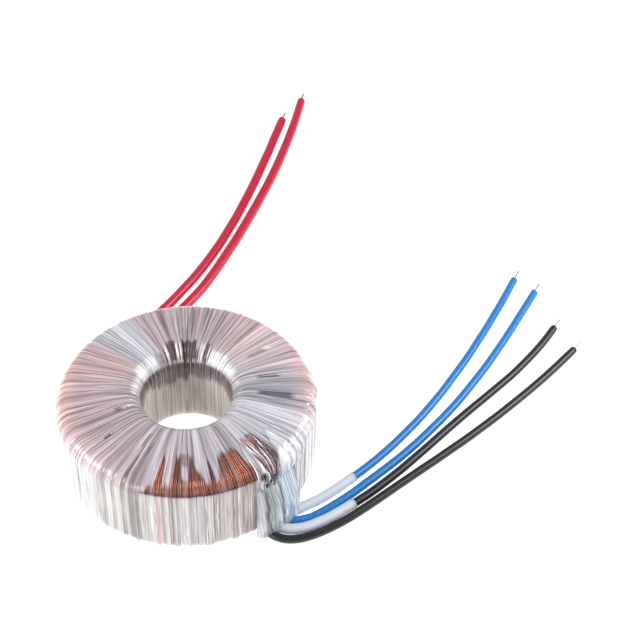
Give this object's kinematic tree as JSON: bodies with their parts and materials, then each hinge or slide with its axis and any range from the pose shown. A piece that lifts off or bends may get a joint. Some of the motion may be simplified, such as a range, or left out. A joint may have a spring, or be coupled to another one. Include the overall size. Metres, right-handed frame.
{
  "type": "toroidal transformer",
  "caption": "Ring-shaped mains transformer in clear film over copper windings, with a centre hole for a clamping bolt and flying leads for primary and secondaries.",
  "frame": {"origin": "middle of the underside of the ring, on the axis of the centre hole", "axes": "+Z along the axis of the ring, upwards as it lies; the secondary leads leave towards +X -Y and the primary leads towards -X +Y"},
  "size_m": [0.177, 0.2296, 0.0305],
  "materials": {
    "core_steel": "satin",
    "insulation_tape": "matte",
    "primary_copper": "gloss enamel",
    "secondary_copper": "gloss enamel",
    "barrier_film": "gloss",
    "wrap_film": "gloss",
    "cover_film": "gloss",
    "pad": "matte",
    "solder": "satin",
    "tinned_copper": "satin",
    "red_insulation": "satin",
    "blue_insulation": "satin",
    "black_insulation": "satin",
    "white_sleeve": "satin"
  },
  "bodies": {
    "root": {"core": "core_steel", "core_insulation": "insulation_tape", "primary_winding": "primary_copper", "film_barrier": "barrier_film", "secondary_winding_1": "secondary_copper", "secondary_film": "barrier_film", "secondary_winding_2": "secondary_copper", "outer_wrap": "wrap_film", "front_exit_cover": "cover_film", "rear_exit_cover": "cover_film", "front_joint_pad": "pad", "rear_joint_pad": "pad", "primary_joints": "solder", "secondary_1_joints": "solder", "secondary_2_joints": "solder", "red_lead_1": "red_insulation", "red_lead_2": "red_insulation", "blue_lead_1": "blue_insulation", "blue_lead_2": "blue_insulation", "black_lead_1": "black_insulation", "black_lead_2": "black_insulation", "red_lead_1_end": "tinned_copper", "red_lead_2_end": "tinned_copper", "blue_lead_1_end": "tinned_copper", "blue_lead_2_end": "tinned_copper", "black_lead_1_end": "tinned_copper", "black_lead_2_end": "tinned_copper", "blue_lead_sleeve": "white_sleeve", "black_lead_sleeve": "white_sleeve"}
  },
  "joints": []
}
